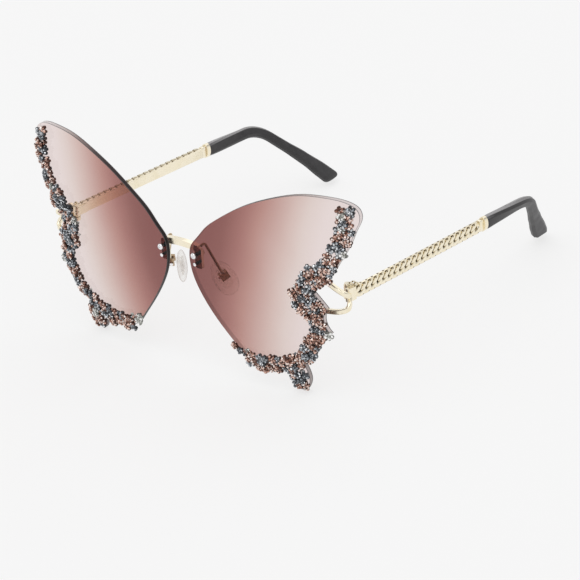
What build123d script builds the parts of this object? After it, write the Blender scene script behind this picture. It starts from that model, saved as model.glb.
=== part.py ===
"""Rimless butterfly sunglasses, standing open on a table. Lengths are millimetres, angles degrees.

The model is drawn from a datum on the middle plane, level with the upper bridge screws, at the
front of the lenses: +X to the wearer's left, +Y back along the temples, +Z up. Each piece is then
moved so that the origin is at the middle of the footprint, on the table.
"""

import os
from math import cos, hypot, pi, radians, sin, sqrt, tan

from build123d import *

# Lenses
nasal_gap = 10.8
lens_width = 70.4
lens_height = 77.2
lens_thickness = 1.8
lens_front_radius = 220.0
wrap_angle = 7.6
optical_spacing = 84.0
optical_drop = 9.1
optical_back = 1.7
screw_height = 46.0
lens_block_depth = 60.0

# Small clearances that several pieces share
cut_overrun = 1.0
pin_clearance = 0.05
press_clearance = 0.02
seat_gap = 0.05
face_gap = 0.1

# Bridge between the lenses
bridge_screw_spacing = 15.6
bridge_pin_drop = 3.4
bridge_bar_height = 2.4
bridge_bar_depth = 1.9
bridge_bar_lift = 1.6
bridge_arch_rise = 0.6
lug_width = 3.2
lug_height = 8.2
lug_thickness = 1.1
lug_corner_radius = 1.0
bridge_screw_radius = 0.65
bridge_head_radius = 1.15
bridge_head_height = 0.8
bridge_pin_radius = 0.5
bridge_pin_head_radius = 0.65
bridge_pin_head_height = 0.3
washer_radius = 1.4
washer_thickness = 0.35
nut_radius = 1.35
nut_thickness = 1.0
nut_sides = 6

# Nose pads, their boxes and arms
pad_pivot_out = 12.2
pad_pivot_back = 9.2
pad_pivot_drop = 10.7
pad_splay = 28.0
pad_flare = 15.0
pad_lean = 20.0
pad_length = 15.0
pad_width = 8.2
pad_thickness = 2.6
pad_stand_off = 2.1
pad_drop = 2.9
pad_box_width = 3.3
pad_box_height = 2.8
pad_box_wall = 0.85
pad_box_front = 0.9
pad_box_back = 1.6
pad_box_slot_depth = 1.15
pad_screw_radius = 0.4
pad_screw_head_radius = 0.7
pad_screw_head_height = 0.4
pad_tab_thickness = 1.3
pad_tab_radius = 0.95
pad_plate_length = 8.0
pad_plate_width = 4.0
pad_plate_thickness = 0.5
# Levels of the pad's crown: share of its thickness and of its outline
pad_crown_shares = ((0.0, 0.78), (0.22, 0.96), (0.45, 1.0), (0.75, 0.88), (1.0, 0.56))
pad_arm_radius = 0.5
pad_arm_reach = 1.9
pad_arm_rise = 0.5
pad_arm_bend_radius = 1.1

# End pieces: a loop of two arms from the lens to the hinge
fork_screw_out = 58.5
fork_upper_lift = 0.6
fork_lower_drop = 12.3
fork_tab_radius = 1.9
fork_tab_thickness = 1.0
fork_screw_radius = 0.55
fork_head_radius = 1.0
fork_head_height = 0.6
fork_bush_radius = 1.0
fork_arm_width = 1.9
fork_arm_thickness = 1.6
fork_hub_width = 1.9
fork_hub_length = 4.4
fork_hub_height = 4.8
hub_edge = 0.5
arm_root_share = 0.7
arm_steps = 12
# Places along an arm: share of the way out, of the way back, and of the height off the hub
upper_arm_shares = (
    (0.0, 0.0, 1.0),
    (0.42, 0.17, 0.72),
    (0.95, 0.24, 0.44),
    (1.24, 0.42, 0.24),
    (1.16, 0.75, 0.06),
    (1.0, 1.0, 0.0),
)
lower_arm_shares = (
    (0.0, 0.0, 1.0),
    (0.42, 0.17, 0.98),
    (0.95, 0.24, 0.84),
    (1.28, 0.40, 0.60),
    (1.20, 0.75, 0.22),
    (1.0, 1.0, 0.0),
)

# Temple hinges
hinge_out = 64.3
hinge_back = 15.4
hinge_drop = 6.85
temple_slope = 4.6
knuckle_radius = 1.4
knuckle_height = 5.0
middle_knuckle_height = 2.1
hinge_screw_radius = 0.6
hinge_head_radius = 1.15
hinge_head_height = 0.6
blade_offset = 1.25
blade_stop = 1.3
web_back = 0.6
knuckle_relief = 0.35

# Temple blades with a curb chain on the outer face
blade_length = 73.4
blade_height = 4.2
blade_thickness = 1.1
link_relief = 0.9
link_count = 24
link_length = 5.6
link_width = 2.15
link_lean = 50.0
blade_end_length = 2.4
leaf_length = 4.2
leaf_thickness = 0.95
leaf_step = 0.8
leaf_height = 3.4
ferrule_length = 1.8
ferrule_height = 5.6
ferrule_width = 3.3
core_radius = 0.55
core_socket_depth = 1.9

# Temple tips
tip_bend_start = 21.16
tip_bend_radius = 16.5
tip_bend_angle = 48.0
tip_inward_tilt = 32.3
tip_height = 5.0
tip_width = 3.0
tip_end_height = 7.0
tip_end_width = 3.2
core_share = 0.72
tip_steps = 24
tip_end_angles = (22.5, 45.0, 62.0, 76.0, 86.0)
# How the tip swells: share of its length, and share of the way from its first size to its last
tip_swell_shares = ((0.0, 0.0), (0.2, -0.05), (0.45, -0.2), (0.6, 0.0), (0.8, 0.55), (0.92, 0.9), (1.0, 1.0))

# Stone flowers and small stones along the outer edge of each lens
flower_radius = 1.85
flower_height = 2.3
flower_waist_share = 0.72
flower_wall_share = 0.28
flower_petal_share = 0.62
flower_crown_share = 0.78
flower_heart_share = 0.46
flower_table_share = 0.6
flower_petals = 5
flower_heart_sides = 6
flower_size_shares = (1.0, 0.9, 0.96, 0.84, 1.0, 0.88)
flower_row_shares = (-1.0, 1.0, 0.0)
flower_turn = 23.0
stone_radius = 0.72
stone_height = 1.0
stone_girdle_share = 0.35
stone_table_share = 0.55
stone_sides = 8
stone_size_shares = (1.0, 0.8, 0.62)
stone_row_shares = (0.0, -0.5, 0.5, -1.0, 1.0, -1.5, 1.5, -1.9)
trim_step = 0.3
trim_gap = 0.04
tail_clearance = 0.15

# Lens outline as shares of the lens width from the nose and of the lens height from the table
outline_shares = (
    (
        (0.274, 0.140), (0.206, 0.216), (0.138, 0.294), (0.064, 0.395), (0.017, 0.486),
        (0.0, 0.576), (0.013, 0.640), (0.057, 0.689), (0.116, 0.750), (0.202, 0.811),
        (0.357, 0.896), (0.523, 0.958), (0.692, 0.996), (0.835, 0.999), (0.939, 0.985),
        (0.990, 0.955), (1.0, 0.922), (0.977, 0.863), (0.957, 0.815), (0.922, 0.750),
        (0.882, 0.690), (0.852, 0.640),
    ),
    ((0.852, 0.640), (0.800, 0.594), (0.744, 0.539)),
    ((0.744, 0.539), (0.777, 0.503), (0.810, 0.464)),
    ((0.810, 0.464), (0.787, 0.404), (0.817, 0.339)),
    ((0.817, 0.339), (0.770, 0.299), (0.729, 0.247), (0.704, 0.196)),
    ((0.704, 0.196), (0.670, 0.182), (0.634, 0.163)),
    (
        (0.634, 0.163), (0.648, 0.120), (0.653, 0.072), (0.640, 0.035), (0.606, 0.0),
        (0.571, 0.039), (0.558, 0.097), (0.553, 0.145),
    ),
    ((0.553, 0.145), (0.477, 0.126), (0.399, 0.109), (0.328, 0.117), (0.274, 0.140)),
)

# Middle lines of the flower trim in the same shares, with half the width of each run
trim_upper_shares = ((0.932, 0.955), (0.928, 0.885), (0.909, 0.820), (0.875, 0.748), (0.830, 0.684))
trim_cusp_shares = ((0.830, 0.640), (0.785, 0.632), (0.740, 0.640))
trim_band_shares = ((0.728, 0.612), (0.700, 0.570), (0.694, 0.520), (0.712, 0.470))
trim_lower_shares = ((0.735, 0.455), (0.762, 0.400), (0.760, 0.343), (0.713, 0.268), (0.654, 0.190))
trim_bottom_shares = ((0.600, 0.165), (0.520, 0.136), (0.440, 0.121), (0.360, 0.117), (0.290, 0.130))
trim_tail_shares = ((0.604, 0.135), (0.603, 0.080), (0.602, 0.010))
trim_half_width = 1.75
trim_tail_half_width = 1.55
trim_runs = (
    ("upper", trim_upper_shares, trim_half_width),
    ("cusp", trim_cusp_shares, trim_half_width),
    ("band", trim_band_shares, trim_half_width),
    ("lower", trim_lower_shares, trim_half_width),
    ("bottom", trim_bottom_shares, trim_half_width),
    ("tail", trim_tail_shares, trim_tail_half_width),
)
zone_names = {
    "upper": "upper",
    "cusp": "middle",
    "band": "middle",
    "lower": "lower",
    "bottom": "lower",
    "tail": "lower",
}
flower_colours = ("copper", "copper", "grey", "copper", "grey", "copper", "grey", "grey", "copper")

# Places worked out from the sizes above
sphere_centre = Vector(
    optical_spacing / 2 - lens_front_radius * sin(radians(wrap_angle)),
    optical_back + lens_front_radius * cos(radians(wrap_angle)),
    -optical_drop,
)
hinge_axis = Vector(0, sin(radians(temple_slope)), cos(radians(temple_slope)))
temple_plane = Plane(origin=(hinge_out, hinge_back, -hinge_drop), x_dir=(1, 0, 0), z_dir=hinge_axis)
blade_middle = blade_offset + (blade_thickness + link_relief) / 2
ferrule_start = blade_stop + blade_length
tip_start = ferrule_start + ferrule_length
hub_start = blade_stop - face_gap - fork_hub_length
tilt = radians(tip_inward_tilt)
bend_plane = Plane(
    origin=temple_plane.from_local_coords((blade_middle, tip_start, 0)),
    x_dir=temple_plane.y_dir,
    z_dir=temple_plane.x_dir * -cos(tilt) + temple_plane.z_dir * sin(tilt),
)


def tip_straight():
    """Length of the tip after its bend, so that its rounded end just touches the table."""
    turn = radians(tip_bend_angle)
    bend_end = bend_plane.from_local_coords(
        (tip_bend_start + tip_bend_radius * sin(turn), tip_bend_radius * (1 - cos(turn)), 0)
    )
    direction = bend_plane.x_dir * cos(turn) + bend_plane.y_dir * sin(turn)
    across = bend_plane.z_dir.Z
    reach = hypot(tip_end_height / 2 * sqrt(1 - across**2), tip_end_width / 2 * across)
    return (bend_end.Z + screw_height - reach) / -direction.Z


tip_straight_length = tip_straight()
tip_bend_length = tip_bend_radius * radians(tip_bend_angle)
tip_body_length = tip_bend_start + tip_bend_length + tip_straight_length


def tip_place(along):
    """Point of the tip's middle line and its direction, both in the world."""
    if along <= tip_bend_start:
        turn = 0
        point = (along, 0)
    elif along <= tip_bend_start + tip_bend_length:
        turn = (along - tip_bend_start) / tip_bend_radius
        point = (tip_bend_start + tip_bend_radius * sin(turn), tip_bend_radius * (1 - cos(turn)))
    else:
        turn = radians(tip_bend_angle)
        rest = along - tip_bend_start - tip_bend_length
        point = (
            tip_bend_start + tip_bend_radius * sin(turn) + rest * cos(turn),
            tip_bend_radius * (1 - cos(turn)) + rest * sin(turn),
        )
    direction = bend_plane.x_dir * cos(turn) + bend_plane.y_dir * sin(turn)
    return bend_plane.from_local_coords((point[0], point[1], 0)), direction


tip_end_point = tip_place(tip_body_length)[0]
front_reach = washer_thickness + bridge_head_height
to_table = Pos(0, (front_reach - tip_end_point.Y - tip_end_height / 2) / 2, screw_height)


def lens_place(across, up):
    """Lens shares to the distance from the middle plane and the height over the datum."""
    return nasal_gap / 2 + across * lens_width, up * lens_height - screw_height


def lens_plane(x, z, depth=0):
    """Plane on the front of the left lens, or sunk in it by depth, facing away from the lens."""
    rise = x - sphere_centre.X, z - sphere_centre.Z
    y = sphere_centre.Y - sqrt(lens_front_radius**2 - rise[0] ** 2 - rise[1] ** 2)
    normal = (Vector(x, y, z) - sphere_centre).normalized()
    across = (Vector(1, 0, 0) - normal * normal.X).normalized()
    return Plane(origin=Vector(x, y, z) - normal * depth, x_dir=across, z_dir=normal)


def rod(plane, radius, start, end):
    """Round bar along the plane's normal, from start to end."""
    return plane.location * Pos(0, 0, (start + end) / 2) * Cylinder(radius, end - start)


def block(plane, size, low):
    """Box in the plane's own axes with its lowest corner at low."""
    middle = [low[i] + size[i] / 2 for i in range(3)]
    return plane.location * Pos(*middle) * Box(*size)


def mirrored(shape):
    """The same piece on the wearer's right."""
    return mirror(shape, about=Plane.YZ)


def both(shape):
    """A piece and its mirror image as separate solids of one node."""
    return Compound(children=[*shape.solids(), *mirrored(shape).solids()])


def lens_outline():
    """Face of the butterfly outline, seen from the front."""
    edges = []
    for run in outline_shares:
        points = [Vector(x, 0, z) for x, z in (lens_place(*place) for place in run)]
        if len(points) == 3:
            edges.append(ThreePointArc(*points))
        else:
            edges.append(Spline(*points))
    return make_face(Wire(edges))


bridge_screw_plane = lens_plane(bridge_screw_spacing / 2, 0)
bridge_bar_plane = lens_plane(
    bridge_screw_spacing / 2, bridge_bar_lift + bridge_bar_height / 2, lens_thickness + face_gap
)
bridge_bar_front = bridge_bar_plane.origin.Y
bridge_pin_plane = lens_plane(bridge_screw_spacing / 2, -bridge_pin_drop)
lug_plane = lens_plane(bridge_screw_spacing / 2, -bridge_pin_drop / 2, lens_thickness + seat_gap)
fork_screw_planes = (
    lens_plane(fork_screw_out, fork_upper_lift),
    lens_plane(fork_screw_out, -fork_lower_drop),
)
lug_back = lens_thickness + 2 * seat_gap + lug_thickness


def lens():
    """Spherical shell cut to the outline and drilled for the bridge and the end piece."""
    shell = Sphere(lens_front_radius) - Sphere(lens_front_radius - lens_thickness)
    blank = extrude(lens_outline(), amount=lens_block_depth / 2, both=True)
    shape = blank & (Pos(*sphere_centre) * shell)
    through = -lens_thickness - cut_overrun, cut_overrun
    shape -= rod(bridge_screw_plane, bridge_screw_radius + pin_clearance, *through)
    shape -= rod(bridge_pin_plane, bridge_pin_radius + pin_clearance, *through)
    for plane in fork_screw_planes:
        shape -= rod(plane, fork_bush_radius + press_clearance, *through)
    return shape.solids()[0]


def bridge():
    """Arched bar with a lug behind each lens."""
    lug_face = RectangleRounded(lug_width, lug_height, lug_corner_radius)
    lug = extrude(lug_plane.location * lug_face, amount=-lug_thickness)
    half_bar = bridge_bar_height / 2
    side = bridge_screw_spacing / 2
    rise = bridge_bar_lift + bridge_arch_rise
    top = ThreePointArc(
        (-side, bridge_bar_front, bridge_bar_lift + half_bar),
        (0, bridge_bar_front, rise + half_bar),
        (side, bridge_bar_front, bridge_bar_lift + half_bar),
    )
    bottom = ThreePointArc(
        (side, bridge_bar_front, bridge_bar_lift - half_bar),
        (0, bridge_bar_front, rise - half_bar),
        (-side, bridge_bar_front, bridge_bar_lift - half_bar),
    )
    sides = (Line(top @ 1, bottom @ 0), Line(bottom @ 1, top @ 0))
    band = make_face(Wire([top, sides[0], bottom, sides[1]]))
    bar = extrude(band, amount=bridge_bar_depth, dir=(0, 1, 0))
    shape = bar + lug + mirrored(lug)
    through = -lens_thickness - lug_thickness - bridge_bar_depth - cut_overrun, cut_overrun
    for plane, radius in (
        (bridge_screw_plane, bridge_screw_radius + press_clearance),
        (bridge_pin_plane, bridge_pin_radius + press_clearance),
    ):
        hole = rod(plane, radius, *through)
        shape = shape - hole - mirrored(hole)
    seat = rod(bridge_screw_plane, nut_radius + face_gap, through[0], -lug_back)
    shape = shape - seat - mirrored(seat)
    return shape.solids()[0]


def bridge_screw():
    """Domed screw from the front of the lens, through the lug and its nut."""
    under_head = washer_thickness + seat_gap
    shank = rod(bridge_screw_plane, bridge_screw_radius, -lug_back - nut_thickness, under_head)
    head = rod(bridge_screw_plane, bridge_head_radius, under_head, front_reach)
    rim = head.edges().filter_by(GeomType.CIRCLE).sort_by(Axis.Y)[0]
    head = fillet(rim, bridge_head_height / 2)
    return shank + head


def bridge_washer():
    """Clear washer between the screw head and the lens."""
    disc = rod(bridge_screw_plane, washer_radius, 0, washer_thickness)
    return disc - rod(bridge_screw_plane, bridge_screw_radius + pin_clearance, -cut_overrun, cut_overrun)


def bridge_nut():
    """Hexagon nut behind the lug."""
    face = bridge_screw_plane.location * RegularPolygon(nut_radius, nut_sides)
    start = bridge_screw_plane.z_dir * -(lug_back + face_gap)
    nut = extrude(Pos(*start) * face, amount=-nut_thickness)
    return nut - rod(bridge_screw_plane, bridge_screw_radius + press_clearance, -2 * lug_back, 0)


def bridge_pin():
    """Small pin under the screw that stops the lens from turning."""
    body = rod(bridge_pin_plane, bridge_pin_radius, -lug_back, bridge_pin_head_height)
    return body + rod(bridge_pin_plane, bridge_pin_head_radius, seat_gap, bridge_pin_head_height)


def pad_plane():
    """Plane at the pad's pivot: its normal faces the nose and its Y runs up the pad."""
    up = Vector(-tan(radians(pad_flare)), -tan(radians(pad_lean)), 1).normalized()
    inward = Vector(-cos(radians(pad_splay)), sin(radians(pad_splay)), 0)
    normal = (inward - up * inward.dot(up)).normalized()
    return Plane(
        origin=(pad_pivot_out, pad_pivot_back, -pad_pivot_drop), x_dir=up.cross(normal), z_dir=normal
    )


pad_frame = pad_plane()
pad_cross = Plane(origin=pad_frame.origin, x_dir=pad_frame.y_dir, z_dir=pad_frame.x_dir)


def pad_box():
    """Small box behind the pad, slotted for the pad's tab and drilled for its screw."""
    depth = pad_box_front + pad_box_back
    low = (-pad_box_width / 2, -pad_box_height / 2, -pad_box_back)
    shape = block(pad_frame, (pad_box_width, pad_box_height, depth), low)
    slot = pad_box_width - 2 * pad_box_wall
    shape -= block(
        pad_frame,
        (slot, pad_box_height + 2 * cut_overrun, pad_box_slot_depth + pad_box_front + cut_overrun),
        (-slot / 2, -pad_box_height / 2 - cut_overrun, -pad_box_slot_depth),
    )
    reach = pad_box_width / 2 + cut_overrun
    return shape - rod(pad_cross, pad_screw_radius + press_clearance, -reach, reach)


def pad_screw():
    """Screw across the box, which the pad rocks on."""
    reach = pad_box_width / 2
    shank = rod(pad_cross, pad_screw_radius, -reach, reach + face_gap)
    return shank + rod(
        pad_cross, pad_screw_head_radius, reach + face_gap, reach + face_gap + pad_screw_head_height
    )


def pad_arm():
    """Wire from the back of the bridge, over and down to the top of the pad box."""
    bar_back = bridge_bar_front + bridge_bar_depth + seat_gap
    start = Vector(bridge_screw_spacing / 2, bar_back, bridge_bar_lift + pad_arm_radius)
    knee = start + Vector(0, pad_arm_reach, pad_arm_rise)
    box_top = pad_frame.from_local_coords((0, pad_box_height / 2 + seat_gap, -pad_box_back / 2))
    elbow = box_top + pad_frame.y_dir * (pad_arm_bend_radius + pad_arm_radius)
    path = FilletPolyline(start, knee, elbow, box_top, radius=pad_arm_bend_radius)
    section = Plane(origin=path @ 0, z_dir=path % 0).location * Circle(pad_arm_radius)
    return sweep(section, path=path)


def pad_level(height):
    """Plane through the middle of the pad, square to its normal, at a height over its pivot."""
    return Plane(
        origin=pad_frame.from_local_coords((0, -pad_drop, height)),
        x_dir=pad_frame.x_dir,
        z_dir=pad_frame.z_dir,
    )


pad_plate_height = pad_stand_off + (pad_thickness - pad_plate_thickness) / 2
pad_plate_plane = pad_level(pad_plate_height)


def pad_insert():
    """Stiff plate inside the pad with the tab that the screw passes through."""
    plate = extrude(
        pad_plate_plane.location
        * RectangleRounded(pad_plate_width, pad_plate_length, pad_plate_width / 3),
        amount=pad_plate_thickness,
    )
    tab = rod(pad_cross, pad_tab_radius, -pad_tab_thickness / 2, pad_tab_thickness / 2)
    tab += block(
        pad_frame,
        (pad_tab_thickness, 2 * pad_tab_radius, pad_plate_height + pad_plate_thickness / 2),
        (-pad_tab_thickness / 2, -pad_tab_radius, 0),
    )
    return plate + tab - rod(pad_cross, pad_screw_radius + pin_clearance, -pad_width, pad_width)


def nose_pad():
    """Soft oval pad moulded round its plate, crowned towards the nose."""
    sections = []
    for height_share, size_share in pad_crown_shares:
        plane = pad_level(pad_stand_off + height_share * pad_thickness)
        sections.append(
            plane.location * Ellipse(size_share * pad_width / 2, size_share * pad_length / 2)
        )
    shape = loft(sections)
    grown = 2 * press_clearance
    pocket = extrude(
        pad_plate_plane.offset(-press_clearance).location
        * RectangleRounded(
            pad_plate_width + grown, pad_plate_length + grown, pad_plate_width / 3 + press_clearance
        ),
        amount=pad_plate_thickness + grown,
    )
    slot = block(
        pad_frame,
        (pad_tab_thickness + grown, 2 * pad_tab_radius + grown, pad_plate_height),
        (-pad_tab_thickness / 2 - press_clearance, -pad_tab_radius - press_clearance, 0),
    )
    return shape - pocket - slot


def fork_tab_plane(plane):
    """Plane against the back of the lens at one of the end piece's screws."""
    return plane.offset(-lens_thickness - seat_gap)


def fork_arm(plane, places):
    """One arm of the loop, from its tab on the lens out and back into the hub."""
    tab_plane = fork_tab_plane(plane)
    start = tab_plane.from_local_coords(
        (fork_tab_radius * arm_root_share, 0, -fork_arm_thickness / 2 - face_gap)
    )
    end = temple_plane.from_local_coords((blade_middle, hub_start + fork_arm_width / 2, 0))
    points = [
        Vector(
            start.X + out * (end.X - start.X),
            start.Y + back * (end.Y - start.Y),
            end.Z + spread * (start.Z - end.Z),
        )
        for out, back, spread in places
    ]
    path = Spline(*points)
    sections = []
    for step in range(arm_steps + 1):
        along = path % (step / arm_steps)
        up = Vector(0, 0, 1) - along * along.Z
        plane = Plane(origin=path @ (step / arm_steps), x_dir=up.normalized(), z_dir=along)
        sections.append(
            plane.location
            * RectangleRounded(fork_arm_width, fork_arm_thickness, fork_arm_thickness / 3)
        )
    return loft(sections)


def end_piece():
    """Loop of two arms with a tab on each, a hub and the two outer hinge knuckles."""
    hub = block(
        temple_plane,
        (fork_hub_width, fork_hub_length, fork_hub_height),
        (blade_middle - fork_hub_width / 2, hub_start, -fork_hub_height / 2),
    )
    shape = fillet(hub.edges().filter_by(Axis(origin=(0, 0, 0), direction=tuple(hinge_axis))), hub_edge)
    for plane, places in zip(fork_screw_planes, (upper_arm_shares, lower_arm_shares)):
        tab = rod(fork_tab_plane(plane), fork_tab_radius, -fork_tab_thickness, 0)
        shape = shape + tab + fork_arm(plane, places)
    for side in (-1, 1):
        low = side * knuckle_height / 2
        high = side * (middle_knuckle_height / 2 + face_gap)
        shape += rod(temple_plane, knuckle_radius, min(low, high), max(low, high))
        shape += block(
            temple_plane,
            (blade_middle, knuckle_radius + web_back, abs(low - high)),
            (0, -knuckle_radius, min(low, high)),
        )
    relief = middle_knuckle_height / 2 + face_gap
    shape -= rod(temple_plane, knuckle_radius + knuckle_relief, -relief, relief)
    shape -= rod(temple_plane, hinge_screw_radius + press_clearance, -knuckle_height, knuckle_height)
    for plane in fork_screw_planes:
        reach = lens_thickness + fork_tab_thickness + fork_arm_thickness + fork_head_height
        shape -= rod(plane, fork_screw_radius + press_clearance, -reach, 0)
        head_seat = -lens_thickness - seat_gap - fork_tab_thickness
        shape -= rod(plane, fork_head_radius + face_gap, -reach - fork_arm_thickness, head_seat)
    return shape.solids().sort_by(SortBy.VOLUME)[-1]


def fork_screw(plane):
    """Screw from the back of the tab into the bush in the lens."""
    seat = -lens_thickness - 2 * seat_gap - fork_tab_thickness
    shank = rod(plane, fork_screw_radius, seat, -face_gap)
    return shank + rod(plane, fork_head_radius, seat - fork_head_height, seat)


def fork_bush(plane):
    """Plastic bush that holds the screw in the lens."""
    bush = rod(plane, fork_bush_radius, -lens_thickness, -face_gap)
    return bush - rod(plane, fork_screw_radius + press_clearance, -2 * lens_thickness, cut_overrun)


def hinge_screw():
    """Screw down the hinge, with its head on top."""
    half = knuckle_height / 2
    shank = rod(temple_plane, hinge_screw_radius, -half, half + seat_gap)
    return shank + rod(
        temple_plane, hinge_head_radius, half + seat_gap, half + seat_gap + hinge_head_height
    )


def temple():
    """Blade with its hinge leaf, its middle knuckle and a row of leaning chain links outside."""
    shape = block(
        temple_plane,
        (blade_thickness, blade_length, blade_height),
        (blade_offset, blade_stop, -blade_height / 2),
    )
    outside = Plane(
        origin=temple_plane.from_local_coords((blade_offset + blade_thickness / 2, 0, 0)),
        x_dir=temple_plane.y_dir,
        z_dir=temple_plane.x_dir,
    )
    first = blade_stop + link_length / 2
    pitch = (ferrule_start - blade_end_length - first) / link_count
    links = [
        extrude(
            outside.location
            * Pos(first + count * pitch, 0, 0)
            * Rot(0, 0, link_lean)
            * SlotOverall(link_length, link_width),
            amount=blade_thickness / 2 + link_relief,
        )
        for count in range(link_count)
    ]
    shape += links
    shape += block(
        temple_plane,
        (blade_thickness + link_relief, blade_end_length, blade_height),
        (blade_offset, ferrule_start - blade_end_length, -blade_height / 2),
    )
    half = middle_knuckle_height / 2
    shape += rod(temple_plane, knuckle_radius, -half, half)
    shape += block(
        temple_plane,
        (leaf_thickness, blade_stop + leaf_step, middle_knuckle_height),
        (blade_offset - leaf_thickness, 0, -half),
    )
    shape += block(
        temple_plane,
        (leaf_thickness, leaf_length, leaf_height),
        (blade_offset - leaf_thickness, blade_stop + leaf_step, -leaf_height / 2),
    )
    shape -= rod(temple_plane, hinge_screw_radius + pin_clearance, -knuckle_height, knuckle_height)
    socket = Plane(
        origin=temple_plane.from_local_coords((blade_middle, ferrule_start, 0)),
        z_dir=temple_plane.y_dir,
    )
    shape -= rod(socket, core_radius + press_clearance, -core_socket_depth, cut_overrun)
    return shape.solids().sort_by(SortBy.VOLUME)[-1]


def ferrule():
    """Oval collar between the blade and its tip."""
    plane = Plane(
        origin=temple_plane.from_local_coords((blade_middle, ferrule_start, 0)),
        x_dir=temple_plane.x_dir,
        z_dir=temple_plane.y_dir,
    )
    collar = extrude(plane.location * Ellipse(ferrule_width / 2, ferrule_height / 2), amount=ferrule_length)
    return collar - rod(plane, core_radius + press_clearance, -cut_overrun, ferrule_length + cut_overrun)


def core_sweep(radius, start, end):
    """Round bar along the temple's middle line, through the bend, between two lengths."""
    turn = radians(tip_bend_angle)
    leg = tip_bend_radius * tan(turn / 2)
    corner = (tip_bend_start + leg, 0)
    rest = end - tip_bend_start - tip_bend_length + leg
    last = (corner[0] + rest * cos(turn), rest * sin(turn))
    points = [bend_plane.from_local_coords((x, y, 0)) for x, y in ((start, 0), corner, last)]
    path = FilletPolyline(*points, radius=tip_bend_radius)
    section = Plane(origin=path @ 0, z_dir=path % 0).location * Circle(radius)
    return sweep(section, path=path)


def core_wire():
    """Metal core from its socket in the blade, through the ferrule and into the tip."""
    start = -ferrule_length - core_socket_depth + face_gap
    return core_sweep(core_radius, start, core_share * tip_body_length)


def tip_section(along, height, width):
    """Oval section of the tip, upright at the ferrule and in line with the bend after it."""
    centre, direction = tip_place(along)
    twist = tilt * max(0, 1 - along / tip_bend_start)
    side = bend_plane.z_dir
    upright = side.cross(direction) * -1
    height_dir = upright * cos(twist) + side * sin(twist)
    plane = Plane(origin=centre, x_dir=height_dir, z_dir=direction)
    return plane.location * Ellipse(height / 2, width / 2)


def tip_swell(share):
    """Share of the way from the tip's first size to its last, at a share of its length."""
    for (low, before), (high, after) in zip(tip_swell_shares, tip_swell_shares[1:]):
        if share <= high:
            return before + (after - before) * (share - low) / (high - low)
    return tip_swell_shares[-1][1]


def temple_tip():
    """Soft sleeve, flat and flared, that bends down and in behind the ear."""
    sections = []
    for step in range(tip_steps + 1):
        swell = tip_swell(step / tip_steps)
        sections.append(
            tip_section(
                step / tip_steps * tip_body_length,
                tip_height + swell * (tip_end_height - tip_height),
                tip_width + swell * (tip_end_width - tip_width),
            )
        )
    for angle in tip_end_angles:
        turn = radians(angle)
        sections.append(
            tip_section(
                tip_body_length + tip_end_height / 2 * sin(turn),
                tip_end_height * cos(turn),
                tip_end_width * cos(turn),
            )
        )
    bore_end = core_share * tip_body_length + face_gap
    sleeve = loft(sections, ruled=True)
    return sleeve - core_sweep(core_radius + pin_clearance, -cut_overrun, bore_end)


def flower(radius, height):
    """Stone flower: a ring of petals with bevelled tops and a faceted heart."""
    corners = 2 * flower_petals
    rim = [
        (reach * radius * cos(2 * pi * k / corners), reach * radius * sin(2 * pi * k / corners))
        for k, reach in ((k, 1 if k % 2 else flower_waist_share) for k in range(corners))
    ]
    face = make_face(Polyline(*rim, close=True))
    wall = flower_wall_share * height
    petals = extrude(face, amount=wall)
    crown = loft(
        [Pos(0, 0, wall) * face, Pos(0, 0, flower_petal_share * height) * scale(face, flower_crown_share)],
        ruled=True,
    )
    heart_radius = flower_heart_share * radius
    heart = loft(
        [
            Pos(0, 0, wall) * RegularPolygon(heart_radius, flower_heart_sides),
            Pos(0, 0, height) * RegularPolygon(heart_radius * flower_table_share, flower_heart_sides),
        ],
        ruled=True,
    )
    return (petals + crown + heart).solids()[0]


def stone(radius, height):
    """Small faceted stone that fills a gap between flowers."""
    girdle = stone_girdle_share * height
    base = extrude(RegularPolygon(radius, stone_sides), amount=girdle)
    crown = loft(
        [
            Pos(0, 0, girdle) * RegularPolygon(radius, stone_sides),
            Pos(0, 0, height) * RegularPolygon(radius * stone_table_share, stone_sides),
        ],
        ruled=True,
    )
    return (base + crown).solids()[0]


def trim_rows(row_shares, size_shares, full_radius, places, overhang):
    """As many more round places as fit along the rows: the zone, x, z and radius of each."""
    lowest = tail_clearance - screw_height
    outline = lens_outline()
    found = []
    for zone, shares, half_width in trim_runs:
        line = Polyline(*[Vector(x, z) for x, z in (lens_place(*place) for place in shares)])
        steps = int(line.length / trim_step)
        for row in row_shares:
            for step in range(steps + 1):
                middle = line @ (step / steps)
                along = line % (step / steps)
                radius = full_radius * size_shares[len(found) % len(size_shares)]
                x = middle.X - row * half_width * along.Y
                z = max(middle.Y + row * half_width * along.X, lowest + radius)
                near = places + found
                if any(hypot(x - it[1], z - it[2]) < radius + it[3] + trim_gap for it in near):
                    continue
                if overhang or outline.is_inside(Vector(x, 0, z)):
                    found.append((zone, x, z, radius))
    return found


def trim_groups():
    """Flowers and stones of the left lens gathered by colour and by wing."""
    groups = {}
    flowers = trim_rows(flower_row_shares, flower_size_shares, flower_radius, [], True)
    for count, (zone, x, z, radius) in enumerate(flowers):
        colour = flower_colours[count % len(flower_colours)]
        shape = flower(radius, flower_height * radius / flower_radius)
        placed = lens_plane(x, z).location * Rot(0, 0, count * flower_turn) * shape
        groups.setdefault(f"flowers_{colour}_{zone_names[zone]}", []).append(placed)
    stones = trim_rows(stone_row_shares, stone_size_shares, stone_radius, flowers, False)
    for zone, x, z, radius in stones:
        shape = stone(radius, stone_height * radius / stone_radius)
        groups.setdefault(f"stones_{zone_names[zone]}", []).append(lens_plane(x, z).location * shape)
    return groups


def save(name, shape):
    """Moves a piece to its place over the table and writes it."""
    solids = shape.solids()
    shape = solids[0] if len(solids) == 1 else Compound(children=list(solids))
    export_step(to_table * shape, os.path.join("parts", name + ".step"))


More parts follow.
